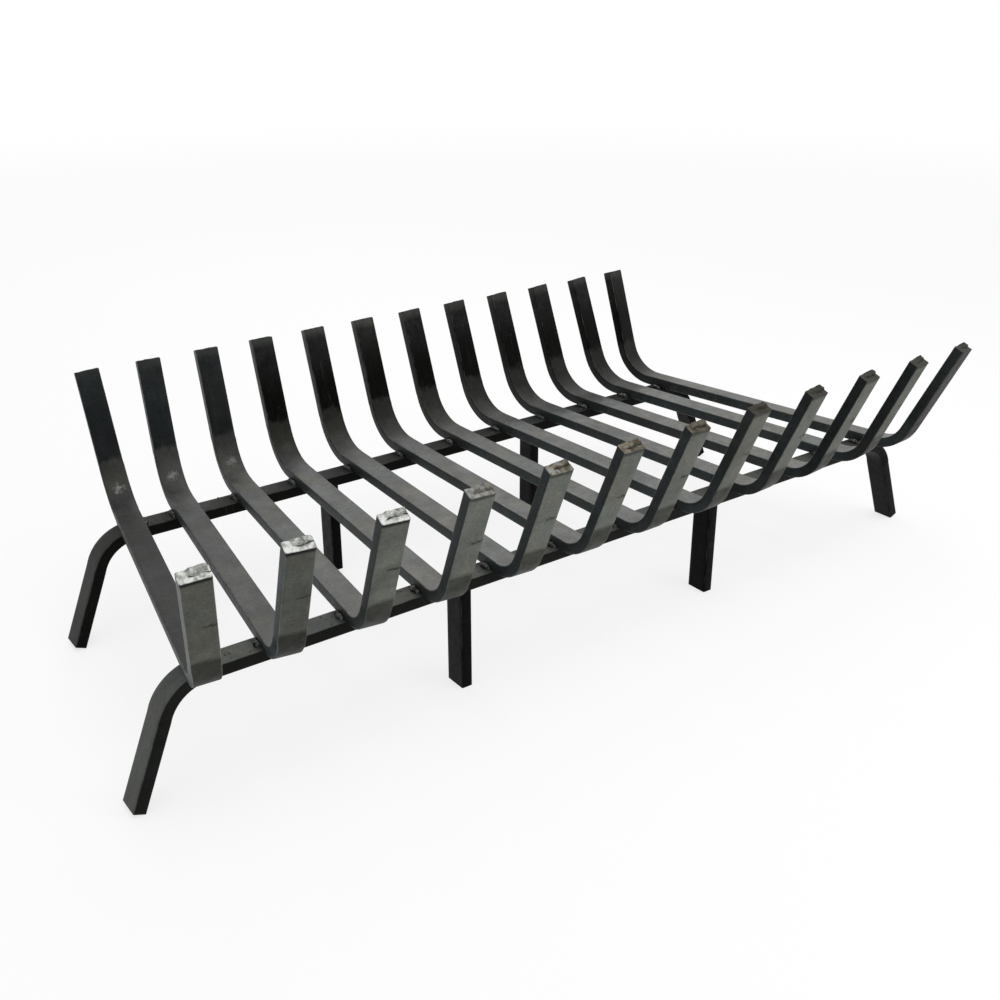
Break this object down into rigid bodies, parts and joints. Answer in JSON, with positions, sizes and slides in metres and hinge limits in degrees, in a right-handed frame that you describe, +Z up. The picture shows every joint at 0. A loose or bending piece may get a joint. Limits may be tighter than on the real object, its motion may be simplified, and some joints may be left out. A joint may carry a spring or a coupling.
{
  "type": "fireplace log grate",
  "caption": "Tapered steel log grate: bent flat bars with upright ends welded across two rails whose ends bend down into splayed legs.",
  "frame": {"origin": "on the floor under the middle of the grate, midway between the two rails", "axes": "+X along the rails to the right as seen from the front, +Y from the low front tips towards the tall rear tips, +Z up"},
  "size_m": [1.0256, 0.5183, 0.2634],
  "materials": {
    "bar_steel": "raw hot-rolled flat bar with grey mill scale, satin, bright saw-cut ends",
    "rail_steel": "raw hot-rolled flat bar with dark mill scale, satin",
    "leg_steel": "raw hot-rolled flat bar with dark mill scale, satin",
    "weld_metal": "rippled weld bead, bright with a brown heat tint"
  },
  "bodies": {
    "root": {"grate_bar_01": "bar_steel", "grate_bar_02": "bar_steel", "grate_bar_03": "bar_steel", "grate_bar_04": "bar_steel", "grate_bar_05": "bar_steel", "grate_bar_06": "bar_steel", "grate_bar_07": "bar_steel", "grate_bar_08": "bar_steel", "grate_bar_09": "bar_steel", "grate_bar_10": "bar_steel", "grate_bar_11": "bar_steel", "grate_bar_12": "bar_steel", "front_rail": "rail_steel", "rear_rail": "rail_steel", "front_mid_leg_left": "leg_steel", "front_mid_leg_right": "leg_steel", "rear_mid_leg_left": "leg_steel", "rear_mid_leg_right": "leg_steel", "front_bar_weld_01": "weld_metal", "front_bar_weld_02": "weld_metal", "front_bar_weld_03": "weld_metal", "front_bar_weld_04": "weld_metal", "front_bar_weld_05": "weld_metal", "front_bar_weld_06": "weld_metal", "front_bar_weld_07": "weld_metal", "front_bar_weld_08": "weld_metal", "front_bar_weld_09": "weld_metal", "front_bar_weld_10": "weld_metal", "front_bar_weld_11": "weld_metal", "front_bar_weld_12": "weld_metal", "rear_bar_weld_01": "weld_metal", "rear_bar_weld_02": "weld_metal", "rear_bar_weld_03": "weld_metal", "rear_bar_weld_04": "weld_metal", "rear_bar_weld_05": "weld_metal", "rear_bar_weld_06": "weld_metal", "rear_bar_weld_07": "weld_metal", "rear_bar_weld_08": "weld_metal", "rear_bar_weld_09": "weld_metal", "rear_bar_weld_10": "weld_metal", "rear_bar_weld_11": "weld_metal", "rear_bar_weld_12": "weld_metal", "front_left_leg_weld": "weld_metal", "front_right_leg_weld": "weld_metal", "rear_left_leg_weld": "weld_metal", "rear_right_leg_weld": "weld_metal"}
  },
  "joints": []
}
